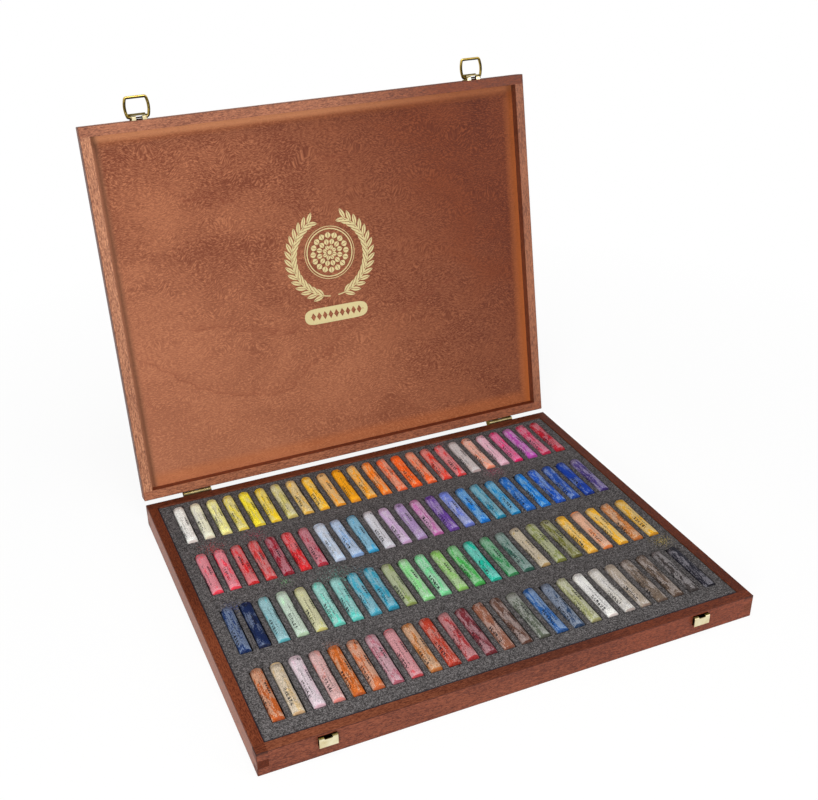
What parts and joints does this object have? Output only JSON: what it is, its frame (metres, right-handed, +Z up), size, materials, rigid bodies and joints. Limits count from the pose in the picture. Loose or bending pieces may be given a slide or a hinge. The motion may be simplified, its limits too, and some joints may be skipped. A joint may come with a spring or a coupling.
{
  "type": "pastel storage case",
  "caption": "Shallow finger-jointed wooden case with a hinged lid, a pocketed foam bed for pastel sticks, butt hinges with stops and brass draw latches.",
  "frame": {"origin": "middle of the tray's underside, on the surface it stands on", "axes": "+X to the right along the front, +Y from front to back, +Z up out of the tray"},
  "size_m": [0.48, 0.4838, 0.4247],
  "materials": {
    "mahogany": "stained and oiled, satin",
    "mahogany_panel": "stained plywood, satin",
    "foam": "open-cell grey foam",
    "brass": "stamped sheet and wire, bright",
    "pastels_1": "dry pastel in paper wraps",
    "pastels_2": "dry pastel in paper wraps",
    "pastels_3": "dry pastel in paper wraps",
    "pastels_4": "dry pastel in paper wraps"
  },
  "bodies": {
    "tray": {"foam_bed": "foam", "foam_pocket_sheet": "foam", "hinge_left_pin": "brass", "hinge_left_tray_leaf": "brass", "hinge_right_pin": "brass", "hinge_right_tray_leaf": "brass", "hinge_tray_screws": "brass", "strike_left": "brass", "strike_right": "brass", "strike_screws": "brass", "tray_back_board": "mahogany", "tray_bottom_panel": "mahogany_panel", "tray_front_board": "mahogany", "tray_left_board": "mahogany", "tray_right_board": "mahogany"},
    "lid": {"hinge_left_lid_leaf": "brass", "hinge_lid_screws": "brass", "hinge_right_lid_leaf": "brass", "latch_left_plate": "brass", "latch_plate_screws": "brass", "latch_right_plate": "brass", "lid_back_board": "mahogany", "lid_front_board": "mahogany", "lid_left_board": "mahogany", "lid_panel": "mahogany_panel", "lid_right_board": "mahogany"},
    "lever_left": {"latch_left_lever": "brass", "latch_left_lever_pin": "brass"},
    "bail_left": {"latch_left_bail": "brass"},
    "lever_right": {"latch_right_lever": "brass", "latch_right_lever_pin": "brass"},
    "bail_right": {"latch_right_bail": "brass"},
    "stick_row_1": {"row_1_sticks": "pastels_1"},
    "stick_row_2": {"row_2_sticks": "pastels_2"},
    "stick_row_3": {"row_3_sticks": "pastels_3"},
    "stick_row_4": {"row_4_sticks": "pastels_4"}
  },
  "joints": [
    {"name": "lid_hinge", "type": "hinge", "parent": "tray", "child": "lid", "pos_m": [0, 0.195, 0.02415], "axis": [1, 0, 0], "range_deg": [0, 101.8]},
    {"name": "lever_left_pivot", "type": "hinge", "parent": "lid", "child": "lever_left", "pos_m": [-0.1805, 0.27684, 0.40537], "axis": [-1, 0, 0], "range_deg": [-150, 0]},
    {"name": "bail_left_pivot", "type": "hinge", "parent": "lever_left", "child": "bail_left", "pos_m": [-0.1805, 0.28032, 0.40495], "axis": [1, 0, 0], "range_deg": [-85, 92.9]},
    {"name": "lever_right_pivot", "type": "hinge", "parent": "lid", "child": "lever_right", "pos_m": [0.1805, 0.27684, 0.40537], "axis": [-1, 0, 0], "range_deg": [-150, 0]},
    {"name": "bail_right_pivot", "type": "hinge", "parent": "lever_right", "child": "bail_right", "pos_m": [0.1805, 0.28032, 0.40495], "axis": [1, 0, 0], "range_deg": [-85, 92.9]},
    {"name": "stick_row_1_lift", "type": "slide", "parent": "tray", "child": "stick_row_1", "axis": [0, 0, -1], "range_m": [-0.06, 0]},
    {"name": "stick_row_2_lift", "type": "slide", "parent": "tray", "child": "stick_row_2", "axis": [0, 0, -1], "range_m": [-0.06, 0]},
    {"name": "stick_row_3_lift", "type": "slide", "parent": "tray", "child": "stick_row_3", "axis": [0, 0, -1], "range_m": [-0.06, 0]},
    {"name": "stick_row_4_lift", "type": "slide", "parent": "tray", "child": "stick_row_4", "axis": [0, 0, -1], "range_m": [-0.06, 0]}
  ]
}
